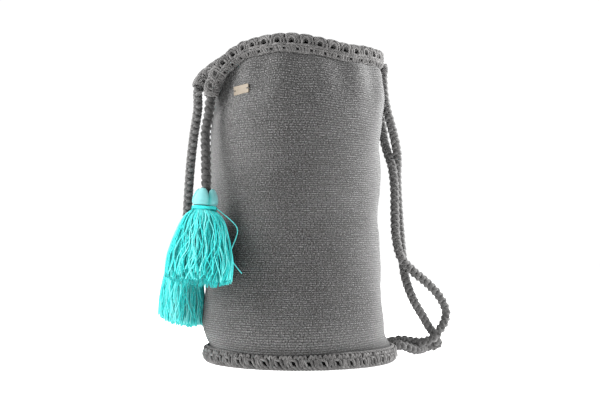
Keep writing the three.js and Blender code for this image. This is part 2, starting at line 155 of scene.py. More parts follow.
WALL_INSIDE_ROWS = 40
KNIT_ROWS = 143
KNIT_COLUMNS = 200
KNIT_WALES = 220
KNIT_RIDGE = 0.36
KNIT_SWELL = 0.55
KNIT_PUCKER = 0.2
KNIT_WANDER = 0.35
KNIT_CALM_ROWS = (30, 60)

# Bulge of the wall's foot over the base band: its middle angle, reach to both sides, depth and height
HANG_ANGLE = 60
HANG_FULL = 5
HANG_SPREAD = 75
HANG_OUT = 6.5
HANG_DROP = 5
HANG_CREST = 5
HANG_RISE = 34

# Ropes, each a round braid of four strands; straps with their routes and lengths
ROPE_DIAMETER = 9
BRAID_LEAD = 15
BRAID_CORE = 3.0
BRAID_SWAY = 0.9
BRAID_STRAND = 2.5
HELD_ROPE_SHARE = 0.75
HELD_ROPE_SLACK = 1.1
HELD_ROPE_OUT = 0.5
STRAP_NEAR_ROUTE = (
    (10, 105.4, 359), (10, 105.4, 340), (10, 107.2, 318), (9.5, 110.8, 302), (8.5, 115.3, 289),
    (6, 122.5, 268), (0.5, 129, 246), (-6, 131.5, 222), (-7.5, 134, 181), (-7, 136.8, 143), (-6, 139, 117),
    (-3.5, 140.3, 99), (-1, 144, 83), (1, 151.5, 65), (0.5, 163, 47.5), (-1.5, 173, 33), (-3.5, 181, 24.5),
    (-6.5, 186, 17.5), (-10, 190, 11.8), (-14.5, 189, 8.5), (-17, 182.5, 7.8), (-14.5, 175, 7.2),
    (-9, 168, 6.5), (-2, 160, 6.5), (4.5, 151, 7), (8, 142, 9), (9.5, 132, 12.5), (8.5, 122, 13.5),
    (8, 115.6, 13.5),
)
STRAP_FAR_ROUTE = (
    (-10, 105.4, 359), (-10, 105.4, 340), (-10, 106.8, 318), (-9.5, 109.5, 300), (-8.5, 113.5, 278),
    (-7.5, 115.6, 263), (-3.5, 118.2, 249), (3, 120.3, 234), (7.5, 121.8, 205), (9, 121.3, 174),
    (9, 123.1, 143), (8, 131, 119), (8, 147, 103), (7, 166.5, 88.5), (7, 183, 72), (9, 191.3, 53),
    (12, 187, 40), (13, 179, 29.5), (10, 171, 20), (3, 162, 15.7), (-3.5, 152.5, 15.7), (-6, 143.5, 17.5),
    (-7.5, 134, 18), (-8, 124, 16), (-8, 115.6, 14),
)
DRAWSTRING_NEAR_ROUTE = (
    (21, -119, 284), (24, -123, 266), (31, -124.6, 240), (38.5, -126.2, 218), (42.9, -127, 204),
    (44, -128, 192),
)
DRAWSTRING_FAR_ROUTE = (
    (-17.5, -122, 298), (-22, -125.6, 265), (-28, -128, 230), (-35, -129.2, 186), (-39.2, -129.6, 156),
    (-40, -130.3, 143),
)
STRAPS = (("strap_near", STRAP_NEAR_ROUTE, 459), ("strap_far", STRAP_FAR_ROUTE, 439))
STITCH_YARN = 0.9
WHIPPING_TURNS = 4
MOUTH_RUN = 15

# Tassels, heights measured from the end of the rope
TASSEL_NEAR = {
    "turn": 19, "lean": 6.3, "half_width": 48.5, "half_depth": 30.5, "hem_tilt": 0.03, "painted_light": 0.0,
}
# The far tassel's threads are made paler than the near one's: painted light
TASSEL_FAR = {
    "turn": -18, "lean": 3.0, "half_width": 43, "half_depth": 27, "hem_tilt": 0.16, "painted_light": 0.5,
}
CAP_CREST = 7
CAP_NECK_TOP = -12.5
CAP_NOTCH = 6.5
CAP_PETALS = 4
CAP_PETAL_TURN = 31
CAP_GROOVE = 0.9
CAP_COLUMNS = 120
BINDING_WIDTH = 4
BINDING_THREAD = 1.0
BINDING_TURNS = 3
BINDING_BED = 1.2
NECK_RADIUS = 11
NECK_BOTTOM = CAP_NECK_TOP - BINDING_WIDTH - 2 * CLEARANCE
SKIRT_LENGTH = 86
SKIRT_HEM_RISE = 8.5
SKIRT_TOP_RADIUS = 13
SKIRT_FLARE = ((0, 0), (0.03, 0.16), (0.16, 0.45), (0.34, 0.66), (0.52, 0.82), (0.7, 0.95), (0.85, 1), (1, 1))
SKIRT_LOCKS = 44
LOCK_THREADS = 13
CORE_THREADS = 260
STRAY_THREADS = 130
THREAD_RADIUS = 0.48

# Profile of the cap from foot to socket: radius, height, share of the notch and share of the groove
CAP_PROFILE = (
    (10.6, -12.4, 0, 0), (12.4, -12, 0, 0), (13.7, -10.4, 0, 0.3), (14.4, -8, 0, 0.6),
    (14.5, -5.4, 0.12, 0.8), (14.2, -2.8, 0.3, 1), (13.5, -0.4, 0.5, 1), (12.6, 2, 0.7, 1),
    (11.4, 4.4, 0.88, 1), (10, 6.2, 0.97, 1), (8.8, 7, 1, 1), (7.4, 6.6, 1, 0.6), (6.2, 5, 0.8, 0.2),
    (5.7, 2.4, 0.4, 0), (5.5, 0.2, 0, 0),
)

# Loose thread out of the near tassel's binding
TAIL_DIAMETER = 1.2
TAIL_ROUTE = (
    (52.9, -117.5, 176.5), (59.2, -106, 166), (63, -98.8, 158), (64.6, -97, 152), (65, -99.8, 142),
    (63.2, -104, 130), (60.8, -103.2, 121), (62.4, -97.4, 112), (66.4, -92.6, 105),
)

# Blank label plate
PLATE_WIDTH = 23
PLATE_HOLE_INSET = 2.4
PLATE_ANGLE = 28.4
PLATE_TILT = 5


# Camera, floor and light


def place_camera():
    data = bpy.data.cameras.new("camera")
    data.lens = CAMERA_LENS
    data.clip_start = 0.01
    camera = bpy.data.objects.new("camera", data)
    turn = math.radians(CAMERA_AZIMUTH)
    reach = CAMERA_DISTANCE / 1000
    camera.location = (reach * math.sin(turn), -reach * math.cos(turn), CAMERA_HEIGHT / 1000)
    camera.rotation_euler = (math.radians(90 + CAMERA_LOOK_UP), 0, turn)
    bpy.context.scene.collection.objects.link(camera)
    bpy.context.scene.camera = camera


def add_area_light(name, azimuth, distance, height, size, watts):
    data = bpy.data.lights.new(name, "AREA")
    data.size = size
    data.energy = watts
    light = bpy.data.objects.new(name, data)
    turn = math.radians(azimuth)
    light.location = (distance * math.sin(turn), -distance * math.cos(turn), height)
    tilt = math.atan2(distance, height - LIGHT_AIM_HEIGHT)
    light.rotation_euler = (tilt, 0, turn)
    bpy.context.scene.collection.objects.link(light)


def add_floor():
    bpy.ops.mesh.primitive_plane_add(size=FLOOR_SIZE)
    floor = bpy.context.object
    floor.name = "floor"
    material, tree, shader = new_material("floor_white")
    fill(tree, shader, {"Base Color": grey(0.9), "Roughness": 0.9})
    fill(tree, shader, {"Emission Color": grey(1), "Emission Strength": FLOOR_GLOW})
    floor.data.materials.append(material)


def set_world():
    world = bpy.data.worlds.new("studio")
    bpy.context.scene.world = world
    world.use_nodes = True
    tree = world.node_tree
    seen = add_node(tree, "ShaderNodeLightPath").outputs["Is Camera Ray"]
    strength = spread(tree, seen, 0, 1, WORLD_LIGHT, WORLD_SEEN)
    fill(tree, tree.nodes["Background"], {"Color": grey(1), "Strength": strength})
    bpy.context.scene.view_settings.view_transform = "Standard"
    bpy.context.scene.view_settings.look = "None"


# Lines and places


def unit(vectors):
    return vectors / np.linalg.norm(vectors, axis=-1, keepdims=True)


def joined(*parts):
    """Places from their parts, each a number or an array."""
    return np.stack(np.broadcast_arrays(*parts), axis=-1)


def polar(angle, radius, height, centre_y=0.0):
    """Point at an angle from the front, counted towards +X."""
    turn = np.radians(angle)
    return joined(radius * np.sin(turn), centre_y - radius * np.cos(turn), height).astype(float)


def smoothstep(value, low, high):
    t = np.clip((value - low) / (high - low), 0, 1)
    return t * t * (3 - 2 * t)


def hermite(s, first, rise, start, end):
    return first + s * start + s * s * (3 * rise - 2 * start - end) + s ** 3 * (start + end - 2 * rise)


def through(knots, t, column):
    """Smooth value at t through knots whose first number is the place."""
    table = np.asarray(knots, float)
    place, value = table[:, 0], table[:, column]
    order = np.arange(len(place))
    after = np.minimum(order + 1, len(place) - 1)
    before = np.maximum(order - 1, 0)
    slope = (value[after] - value[before]) / (place[after] - place[before])
    i = np.clip(np.searchsorted(place, t), 1, len(place) - 1)
    span = place[i] - place[i - 1]
    s = np.clip((t - place[i - 1]) / span, 0, 1)
    return hermite(s, value[i - 1], value[i] - value[i - 1], slope[i - 1] * span, slope[i] * span)


def smooth_line(route, steps=12):
    """Smooth curve through all the points of a route."""
    points = np.asarray(route, float)
    padded = np.vstack([2 * points[0] - points[1], points, 2 * points[-1] - points[-2]])
    line = []
    s = np.linspace(0, 1, steps, endpoint=False)[:, None]
    for a, b, c, d in zip(padded[:-3], padded[1:-2], padded[2:-1], padded[3:]):
        before, span, after = (math.sqrt(np.linalg.norm(q - p)) for p, q in ((a, b), (b, c), (c, d)))
        start = ((b - a) / before - (c - a) / (before + span) + (c - b) / span) * span
        end = ((c - b) / span - (d - b) / (span + after) + (d - c) / after) * span
        line.append(hermite(s, b, c - b, start, end))
    line.append(points[-1:])
    return np.vstack(line)


def lengths_along(line):
    return np.concatenate([[0], np.cumsum(np.linalg.norm(np.diff(line, axis=0), axis=1))])


def sampled(table, places, wanted):
    """Rows of a table that stand at given places, read off at the wanted ones."""
    return joined(*(np.interp(wanted, places, column) for column in table.T))


def at_lengths(line, lengths):
    return sampled(line, lengths_along(line), lengths)


def even_line(line, step):
    """The same line with evenly spaced points."""
    total = lengths_along(line)[-1]
    count = max(int(round(total / step)), 2)
    return at_lengths(line, np.linspace(0, total, count + 1))


def line_frames(lines):
    """Directions along and across each of several lines, carried on without twist."""
    along = unit(np.gradient(lines, axis=1))
    helper = np.where(np.abs(along[:, 0, 2:]) < 0.9, [[0.0, 0.0, 1.0]], [[1.0, 0.0, 0.0]])
    current = unit(np.cross(along[:, 0], helper))
    across = np.empty_like(lines)
    for i in range(lines.shape[1]):
        lean = (current * along[:, i]).sum(axis=-1, keepdims=True)
        current = unit(current - lean * along[:, i])
        across[:, i] = current
    return along, across, np.cross(along, across)


# Meshes


class Shape:
    """Points, faces, face-corner places and tones of one piece, gathered part by part."""

    def __init__(self):
        self.points = []
        self.faces = []
        self.corners = []
        self.tones = []
        self.count = 0

    def add(self, points, faces, corners, tones):
        self.points.append(points)
        self.faces.extend((faces + self.count).tolist())
        self.corners.append(corners.reshape(-1, 2))
        self.tones.append(tones)
        self.count += len(points)

    def add_ends(self, rings):
        self.faces.extend(rings.tolist())
        self.corners.append(np.zeros((rings.size, 2)))


def grid_faces(rows, columns, wrap):
    """Four-cornered faces of a grid and their corner numbers along and across."""
    j = np.arange(rows - 1)[:, None]
    k = np.arange(columns if wrap else columns - 1)[None, :]
    near = j * columns
    far = near + columns
    right = (k + 1) % columns
    faces = joined(near + k, near + right, far + right, far + k).reshape(-1, 4)
    corners = np.stack([joined(j, k), joined(j, k + 1), joined(j + 1, k + 1), joined(j + 1, k)], axis=-2)
    return faces, corners.reshape(-1, 4, 2)


def add_tubes(shape, lines, radius, sides, tones=None):
    """Round tubes along several lines of equal point count, closed at both ends."""
    lines = np.asarray(lines, float)
    count, steps, _ = lines.shape
    _, across, third = line_frames(lines)
    turn = 2 * np.pi * np.arange(sides) / sides
    ring = np.cos(turn)[:, None] * across[:, :, None] + np.sin(turn)[:, None] * third[:, :, None]
    thick = np.broadcast_to(np.asarray(radius, float), (count, steps))[:, :, None, None]
    points = (lines[:, :, None] + thick * ring).reshape(-1, 3)
    faces, corners = grid_faces(steps, sides, True)
    spacing = np.linalg.norm(np.diff(lines, axis=1), axis=-1)
    along = np.concatenate([np.zeros((count, 1)), np.cumsum(spacing, axis=1)], axis=1)
    along = along + 7.3 * np.arange(count)[:, None]
    first = (np.arange(count) * steps * sides)[:, None, None]
    place = np.empty((count,) + corners.shape)
    place[..., 0] = along[:, corners[..., 0]]
    place[..., 1] = corners[..., 1] / sides
    tones = random.uniform(0, 1, count) if tones is None else np.broadcast_to(tones, count)
    start = shape.count + first[:, :, 0] + np.arange(sides)[::-1]
    end = shape.count + first[:, :, 0] + (steps - 1) * sides + np.arange(sides)
    shape.add(points, (faces + first).reshape(-1, 4), place, np.repeat(tones, steps * sides))
    shape.add_ends(np.vstack([start, end]))


def make_piece(name, shape, material, nodes=()):
    """Mesh object that rides on the bag and stands for the nodes it replaces."""
    mesh = bpy.data.meshes.new(name)
    mesh.from_pydata((np.vstack(shape.points) / 1000).tolist(), [], shape.faces)
    mesh.uv_layers.new(name="strand").data.foreach_set("uv", np.vstack(shape.corners).ravel())
    tone = mesh.attributes.new("tone", "FLOAT", "POINT")
    tone.data.foreach_set("value", np.concatenate(shape.tones))
    mesh.polygons.foreach_set("use_smooth", np.ones(len(mesh.polygons), bool))
    mesh.materials.append(material)
    piece = bpy.data.objects.new(name, mesh)
    bpy.context.scene.collection.objects.link(piece)
    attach(piece, "root")
    if nodes:
        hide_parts(*nodes)
    return piece


# Materials


def new_material(name):
    material = bpy.data.materials.new(name)
    material.use_nodes = True
    return material, material.node_tree, material.node_tree.nodes["Principled BSDF"]


def fill(tree, node, sockets):
    """Sets a node's sockets to values, or links them to outputs."""
    for socket, value in sockets.items():
        if isinstance(value, bpy.types.NodeSocket):
            tree.links.new(value, node.inputs[socket])
        else:
            node.inputs[socket].default_value = value


def add_node(tree, kind, sockets=None, **settings):
    """Shader node with its settings and sockets."""
    node = tree.nodes.new(kind)
    for key, value in settings.items():
        setattr(node, key, value)
    fill(tree, node, sockets or {})
    return node


def surface(tree):
    """What a material can read of its piece: place, place on the strand, the two parts of that, and tone."""
    place = add_node(tree, "ShaderNodeTexCoord").outputs["Object"]
    strand = add_node(tree, "ShaderNodeUVMap", uv_map="strand").outputs["UV"]
    parts = add_node(tree, "ShaderNodeSeparateXYZ", {0: strand}).outputs
    tone = add_node(tree, "ShaderNodeAttribute", attribute_name="tone").outputs["Fac"]
    return place, strand, parts, tone


def math_node(tree, operation, first, second=0.0):
    return add_node(tree, "ShaderNodeMath", {0: first, 1: second}, operation=operation).outputs[0]


def mixed_colour(tree, factor, first, second):
    node = add_node(tree, "ShaderNodeMix", {0: factor, 6: first, 7: second}, data_type="RGBA")
    return node.outputs[2]


def stretched(tree, place, scale):
    return add_node(tree, "ShaderNodeMapping", {"Vector": place, "Scale": scale}).outputs[0]


def noise(tree, place, scale, detail=2.0, roughness=0.5):
    sockets = {"Vector": place, "Scale": scale, "Detail": detail, "Roughness": roughness}
    return add_node(tree, "ShaderNodeTexNoise", sockets).outputs["Fac"]


def spread(tree, value, low, high, to_low=0.0, to_high=1.0):
    sockets = {"Value": value, "From Min": low, "From Max": high, "To Min": to_low, "To Max": to_high}
    return add_node(tree, "ShaderNodeMapRange", sockets).outputs["Result"]


def bumped(tree, height, depth, strength=1.0, normal=None):
    sockets = {"Height": height, "Distance": depth / 1000, "Strength": strength}
    if normal is not None:
        sockets["Normal"] = normal
    return add_node(tree, "ShaderNodeBump", sockets).outputs["Normal"]


def grey(value, warmth=0.0):
    return (value * (1 + warmth), value, value * (1 - 0.5 * warmth), 1)


def yarn_material(name, dark, light, fleck, fleck_share, ply_pitch, ply_depth, sheen):
    """Plied yarn: twisted plies, loose fibres, flecks and strands of slightly different shades."""
    material, tree, shader = new_material(name)
    place, _, parts, tone = surface(tree)
    turns = math_node(tree, "ADD", math_node(tree, "DIVIDE", parts[0], ply_pitch), parts[1])
    ply = math_node(tree, "SINE", math_node(tree, "MULTIPLY", turns, 6 * math.pi))
    fibre = noise(tree, place, 1900, 3)
    patches = noise(tree, place, 160, 2)
    own = math_node(tree, "MULTIPLY", tone, 0.7)
    shade = math_node(tree, "ADD", own, math_node(tree, "MULTIPLY", patches, 0.3))
    colour = mixed_colour(tree, spread(tree, shade, 0.15, 0.85), dark, light)
    colour = mixed_colour(tree, spread(tree, fibre, 0.56, 0.72, 0, fleck_share), colour, fleck)
    colour = mixed_colour(tree, spread(tree, tone, 0.8, 1, 0, fleck_share), colour, fleck)
    # Painted shade in the grooves between the plies
    colour = mixed_colour(tree, spread(tree, ply, -1, -0.2, 0.2, 0), colour, dark)
    normal = bumped(tree, ply, ply_depth)
    normal = bumped(tree, fibre, 0.1, 0.4, normal)
    fill(tree, shader, {"Base Color": colour, "Normal": normal, "Roughness": 0.9})
    fill(tree, shader, {"Specular IOR Level": 0.2, "Sheen Weight": sheen, "Sheen Roughness": 0.45})
    return material


def knit_material(name):
    """Fine machine knit: rows of small slanted stitches in a mixed grey yarn."""
    material, tree, shader = new_material(name)
    place, cloth, parts, crease = surface(tree)
    wale = math_node(tree, "PINGPONG", parts[1], 0.5)
    slant = math_node(tree, "ADD", parts[0], math_node(tree, "MULTIPLY", wale, 0.25))
    stitch = math_node(tree, "SINE", math_node(tree, "MULTIPLY", slant, 2 * math.pi))
    fibre = noise(tree, place, 1500, 3, 0.65)
    grain = noise(tree, stretched(tree, cloth, (0.9, 0.9, 1.0)), 2.1, 1, 0.5)
    streaks = noise(tree, stretched(tree, cloth, (1.0, 0.08, 1.0)), 1.0, 2, 0.6)
    patches = noise(tree, place, 14, 3)
    mottle = math_node(tree, "MULTIPLY", patches, 0.6)
    soft = math_node(tree, "ADD", math_node(tree, "MULTIPLY", streaks, 0.4), mottle)
    colour = mixed_colour(tree, spread(tree, soft, 0.38, 0.62), grey(0.054, 0.02), grey(0.108, 0.01))
    colour = mixed_colour(tree, spread(tree, grain, 0.33, 0.48, 0.9, 0), colour, grey(0.014, 0.02))
    colour = mixed_colour(tree, spread(tree, grain, 0.52, 0.66, 0, 0.85), colour, grey(0.22, 0.01))
    # Painted shade in the grooves between the rows of stitches
    colour = mixed_colour(tree, spread(tree, stitch, -1, 0.4, 0.65, 0), colour, grey(0.018, 0.02))
    colour = mixed_colour(tree, spread(tree, fibre, 0.6, 0.75, 0, 0.35), colour, grey(0.24))
    # The tone darkens the knit with painted shade on the foot, just above the band and under the lip
    colour = mixed_colour(tree, crease, colour, grey(0.012))
    normal = bumped(tree, stitch, 0.3, 0.8)
    normal = bumped(tree, grain, 0.45, 0.6, normal)
    fill(tree, shader, {"Base Color": colour, "Normal": normal, "Roughness": 0.95})
    fill(tree, shader, {"Specular IOR Level": 0.15, "Sheen Weight": 0.35, "Sheen Roughness": 0.4})
    return material


def cap_material(name):
    """Smooth wrapped thread: pale on the petals, darker with painted shade in the folds, with fine upright
    lines.
    """
    material, tree, shader = new_material(name)
    place, _, parts, tone = surface(tree)
    lines = math_node(tree, "SINE", math_node(tree, "MULTIPLY", parts[1], 2 * math.pi))
    cloud = noise(tree, place, 220, 2)
    shade = math_node(tree, "ADD", tone, math_node(tree, "MULTIPLY", cloud, 0.3))
    colour = mixed_colour(tree, spread(tree, shade, 0.1, 1), (0.005, 0.28, 0.27, 1), (0.15, 0.43, 0.44, 1))
    normal = bumped(tree, lines, 0.1, 0.5)
    fill(tree, shader, {"Base Color": colour, "Normal": normal, "Roughness": 0.6, "Sheen Weight": 0.3})
    return material


def plate_material(name):
    """Pale satin plate with faint cloudiness and fine scratches."""
    material, tree, shader = new_material(name)
    place = add_node(tree, "ShaderNodeTexCoord").outputs["Object"]
    cloud = noise(tree, place, 130, 3)
    scratch = noise(tree, stretched(tree, place, (60, 60, 900)), 6, 2)
    colour = mixed_colour(tree, cloud, (0.15, 0.12, 0.086, 1), (0.22, 0.185, 0.14, 1))
    rough = spread(tree, scratch, 0.3, 0.7, 0.4, 0.55)
    normal = bumped(tree, scratch, 0.05, 0.4)
    fill(tree, shader, {"Base Color": colour, "Normal": normal})
    fill(tree, shader, {"Roughness": rough, "Specular IOR Level": 0.25})
    return material


# Ropes


def casing_point(angle):
    return polar(angle, RIM_MID_RADIUS, RIM_MID_HEIGHT + through(RIM_SAG, angle, 1), RIM_CENTRE_Y)


def rim_line():
    """Centre line of the casing, from its near end round the back of the mouth to its far end."""
    t = np.linspace(0, 1, 7)[:, None]
    ends = []
    for side, end, handle in ((1, RIM_END_NEAR, RIM_END_LENGTH_NEAR), (-1, RIM_END_FAR, RIM_END_LENGTH_FAR)):
        leave = casing_point((360 + side * RIM_LEAVE_ANGLE) % 360)
        bend = leave + polar(side * (RIM_LEAVE_ANGLE - 90), RIM_LEAVE_LENGTH, 0)
        end = np.asarray(end, float)
        above = end + (0, RIM_INWARD_TILT * handle / 3, handle)
        first_half = (1 - t) ** 3 * leave + 3 * (1 - t) ** 2 * t * bend
        ends.append(first_half + 3 * (1 - t) * t ** 2 * above + t ** 3 * end)
    arc = casing_point(np.linspace(RIM_LEAVE_ANGLE, 360 - RIM_LEAVE_ANGLE, 29)[1:-1])
    return even_line(smooth_line(np.vstack([ends[0][::-1], arc, ends[1]])), 1.0)


def rim_frames(line):
    """Outward and under directions along the casing, and half its height there."""
    along = unit(np.gradient(line, axis=0))
    inward = joined(-line[:, 0], RIM_CENTRE_Y - line[:, 1], 0.0)
    under = np.array([0.0, 0.0, -1.0]) + RIM_INWARD_TILT * unit(inward)
    under = unit(under - (under * along).sum(axis=-1, keepdims=True) * along)
    lengths = lengths_along(line)
    full = smoothstep(np.minimum(lengths, lengths[-1] - lengths), 0, RIM_END_TAPER)
    half = (RIM_END_HEIGHT + (RIM_HEIGHT - RIM_END_HEIGHT) * full) / 2
    return np.cross(under, along), under, half[:, None]


def held_rope_line(line):
    out, under, half = rim_frames(line)
    drop = half - RIM_WALL - ROPE_DIAMETER / 2 - HELD_ROPE_SLACK
    return line + drop * under + HELD_ROPE_OUT * out


def free_rope_line(held_end, held_before, route):
    """Line of a free drawstring end, straight on out of the casing and then down its route."""
    onward = unit(held_end - held_before)
    start = [held_end + CLEARANCE * onward, held_end + ROPE_DIAMETER / 2 * onward]
    return smooth_line(np.vstack([start, np.asarray(route, float)]))


def add_braid(shape, line, share):
    """Round braid: two strands wind each way and cross over and under in turn."""
    line = even_line(line, 1.25)
    _, across, third = line_frames(line[None])
    turn = 2 * np.pi * lengths_along(line) / BRAID_LEAD
    strands = []
    for hand in (1, -1):
        reach = share * (BRAID_CORE + hand * BRAID_SWAY * np.cos(2 * turn))
        for start in (0, np.pi):
            angle = hand * turn + start
            offset = np.cos(angle)[:, None] * across[0] + np.sin(angle)[:, None] * third[0]
            strands.append(line + reach[:, None] * offset)
    thick = np.full(len(line), share * BRAID_STRAND)
    thick[[0, -1]] *= 0.6
    add_tubes(shape, strands, thick, 8)


def add_whipping(shape, line, reach):
    """Turns of yarn round both ends of a rope."""
    line = even_line(line, 1)
    _, across, third = line_frames(line[None])
    turn = np.linspace(0, 2 * np.pi * WHIPPING_TURNS, 97)
    for first, last in ((3, 11), (len(line) - 12, len(line) - 4)):
        place = np.linspace(first, last, 97)
        near = place.round().astype(int)
        offset = np.cos(turn)[:, None] * across[0, near] + np.sin(turn)[:, None] * third[0, near]
        core = at_lengths(line, place * lengths_along(line)[-1] / (len(line) - 1))
        add_tubes(shape, (core + reach * offset)[None], STITCH_YARN, 6, [0.6])


def make_rope(name, line, material, share=1.0, whipped=False):
    shape = Shape()
    add_braid(shape, line, share)
    if whipped:
        add_whipping(shape, line, BRAID_CORE + BRAID_STRAND)
    return make_piece(f"{name}_braid", shape, material, [name])


# Tassels


def tassel_place(form, rope_end):
    """Turns the points of an upright tassel to its place on a rope's end."""
    turn, lean = math.radians(form["turn"]), math.radians(form["lean"])
    tilt = np.array([[1, 0, 0], [0, math.cos(lean), math.sin(lean)], [0, -math.sin(lean), math.cos(lean)]])
    swing = np.array([[math.cos(turn), -math.sin(turn), 0], [math.sin(turn), math.cos(turn), 0], [0, 0, 1]])
    matrix = swing @ tilt
    return lambda points: np.asarray(points, float) @ matrix.T + rope_end


def drawn(low, high, count):
    """One random number for each thread."""
    return random.uniform(low, high, (count, 1))


def waves(count, cycles, size, down):
    """Sideways waves down each thread, each with its own start and length."""
    start = drawn(0, 2 * np.pi, count)
    return size * np.sin(2 * np.pi * cycles * drawn(0.7, 1.3, count) * down + start)


def skirt_places(form, angle, depth, down, short):
    """Points of a skirt's threads at their angles and depths, down to a hem that bulges downwards."""
    flare = through(SKIRT_FLARE, down, 1)
    x = depth * (SKIRT_TOP_RADIUS + (form["half_width"] - SKIRT_TOP_RADIUS) * flare) * np.cos(angle)
    y = depth * (SKIRT_TOP_RADIUS + (form["half_depth"] - SKIRT_TOP_RADIUS) * flare) * np.sin(angle)
    length = SKIRT_LENGTH - SKIRT_HEM_RISE * depth ** 3 - short
    z = NECK_BOTTOM - CLEARANCE - length * down - form["hem_tilt"] * y * down
    return joined(x, y, z)


def skirt_lines(form):
    """Threads of a skirt and their tones: a full core, wavy locks and single threads astray on top."""
    down = np.linspace(0, 1, 14)
    loose = smoothstep(down, 0, 0.25)
    core_turn = 2 * np.pi * drawn(0, 1, CORE_THREADS)
    core_depth = np.sqrt(drawn(0.1, 0.72, CORE_THREADS))
    core_turn = core_turn + waves(CORE_THREADS, 1.5, 0.05, down) * loose
    core = skirt_places(form, core_turn, core_depth, down, drawn(0, 4, CORE_THREADS))
    count = SKIRT_LOCKS * LOCK_THREADS
    lock = np.repeat(np.arange(SKIRT_LOCKS), LOCK_THREADS)
    lock_shift = drawn(-0.3, 0.3, SKIRT_LOCKS)
    lock_turn = 2 * np.pi * (np.arange(SKIRT_LOCKS)[:, None] + lock_shift) / SKIRT_LOCKS
    lock_sway = waves(SKIRT_LOCKS, 1.2, 0.05, down) + waves(SKIRT_LOCKS, 2.8, 0.025, down)
    lock_depth = drawn(0.88, 0.98, SKIRT_LOCKS)
    own_turn = random.normal(0, 0.042, (count, 1)) + waves(count, 2.0, 0.02, down)
    angle = lock_turn[lock] + (lock_sway[lock] + own_turn) * loose + 0.4 * own_turn
    depth = np.minimum(lock_depth[lock] + drawn(-0.05, 0.03, count), 1)
    locks = skirt_places(form, angle, depth, down, drawn(0, 3.5, count))
    stray_turn = 2 * np.pi * drawn(0, 1, STRAY_THREADS)
    drift = random.normal(0, 0.38, (STRAY_THREADS, 1)) * down + waves(STRAY_THREADS, 1.6, 0.07, down)
    stray_depth = drawn(0.98, 1.02, STRAY_THREADS)
    stray_short = drawn(-2, 9, STRAY_THREADS)
    strays = skirt_places(form, stray_turn + drift * loose, stray_depth, down, stray_short)
    # The tassel's added tone lifts all its threads' tones: painted light on the far tassel
    lock_tone = random.uniform(0.1, 0.45, SKIRT_LOCKS)[lock] + form["painted_light"] + random.normal(0, 0.34, count)
    core_tone = random.uniform(0, 0.5, CORE_THREADS) + form["painted_light"]
    tones = np.concatenate([core_tone, np.clip(lock_tone, 0, 1), random.uniform(0.65, 1, STRAY_THREADS)])
    return np.vstack([core, locks, strays]), tones


def add_cap(shape, place):
    """Smooth cap: up its outside, over the petals and down into the rope's socket."""
    turn = 2 * np.pi * np.arange(CAP_COLUMNS) / CAP_COLUMNS
    fold = 1 - np.abs(np.sin(CAP_PETALS / 2 * (turn - math.radians(CAP_PETAL_TURN + 45))))
    crest = CAP_CREST - CAP_NOTCH * fold ** 1.6
    groove = CAP_GROOVE * fold ** 5
    profile = np.asarray(CAP_PROFILE)
    rows = smooth_line(profile[:, :3], 3)
    cut = np.interp(np.linspace(0, 1, len(rows)), np.linspace(0, 1, len(profile)), profile[:, 3])
    radius = rows[:, :1] - cut[:, None] * groove
    height = rows[:, 1:2] + rows[:, 2:] * (crest - CAP_CREST)
    points = joined(radius * np.cos(turn), radius * np.sin(turn), height)
    faces, corners = grid_faces(len(rows), CAP_COLUMNS, True)
    # Tones paint shade into the folds between the petals
    tones = np.clip(0.75 - fold ** 3, 0, 1)
    shape.add(place(points.reshape(-1, 3)), faces, corners * np.array([0.4, 1.0]), np.tile(tones, len(rows)))


def binding_line():
    """Thread wound round the neck, on the threads that lie under it."""
    angle = np.linspace(0, 2 * np.pi * BINDING_TURNS, 90)
    height = np.linspace(CAP_NECK_TOP - 0.9, NECK_BOTTOM + 0.9, 90)
    radius = NECK_RADIUS + BINDING_BED + BINDING_THREAD
    return joined(radius * np.cos(angle), radius * np.sin(angle), height)


def make_tassel(name, form, rope_end, material, cap_thread):
    place = tassel_place(form, rope_end)
    cap, binding, skirt = Shape(), Shape(), Shape()
    add_cap(cap, place)
    add_tubes(binding, place(binding_line())[None], BINDING_THREAD, 8, [0.7])
    lines, tones = skirt_lines(form)
    add_tubes(skirt, place(lines), THREAD_RADIUS, 4, tones)
    return [
        make_piece(f"{name}_cap_threads", cap, cap_thread, [f"{name}_cap"]),
        make_piece(f"{name}_binding_threads", binding, material, [f"{name}_binding"]),
        make_piece(f"{name}_skirt_threads", skirt, material, [f"{name}_skirt"]),
    ]


def make_tail(material):
    line = smooth_line(TAIL_ROUTE, 6)
    shape = Shape()
    add_tubes(shape, line[None], TAIL_DIAMETER / 2, 6, [0.9])
    piece = make_piece("tassel_tail_strand", shape, material, ["tassel_tail_thread"])


# Knit wall


def soft_noise(rows, columns, row_cells, column_cells):
    """Smooth random relief between -1 and 1 over a grid that joins up sideways."""
    values = random.uniform(-1, 1, (row_cells + 1, column_cells))
    down = np.linspace(0, row_cells, rows) * 0.9999
    across = np.arange(columns) * column_cells / columns
    i, k = down.astype(int), across.astype(int)
    s = smoothstep(down - i, 0, 1)[:, None]
    t = smoothstep(across - k, 0, 1)[None, :]
    right = (k + 1) % column_cells
    upper = values[i][:, k] * (1 - t) + values[i][:, right] * t
    lower = values[i + 1][:, k] * (1 - t) + values[i + 1][:, right] * t
    return upper * (1 - s) + lower * s


def angle_from_front(angle):
    return np.abs((angle + 180) % 360 - 180)


def crease_height(angles):
    """Height of the crease where the wall turns forward into the lip."""
    nearness = np.minimum(angle_from_front(angles) / LIP_HALF_ANGLE, 1)
    return CREASE_HEIGHT + (SHOULDER_HEIGHT - CREASE_HEIGHT) * nearness ** 2


def share_at(height):
    return (height - BAND_HEIGHT - CLEARANCE) / (SHOULDER_HEIGHT - BAND_HEIGHT - CLEARANCE)


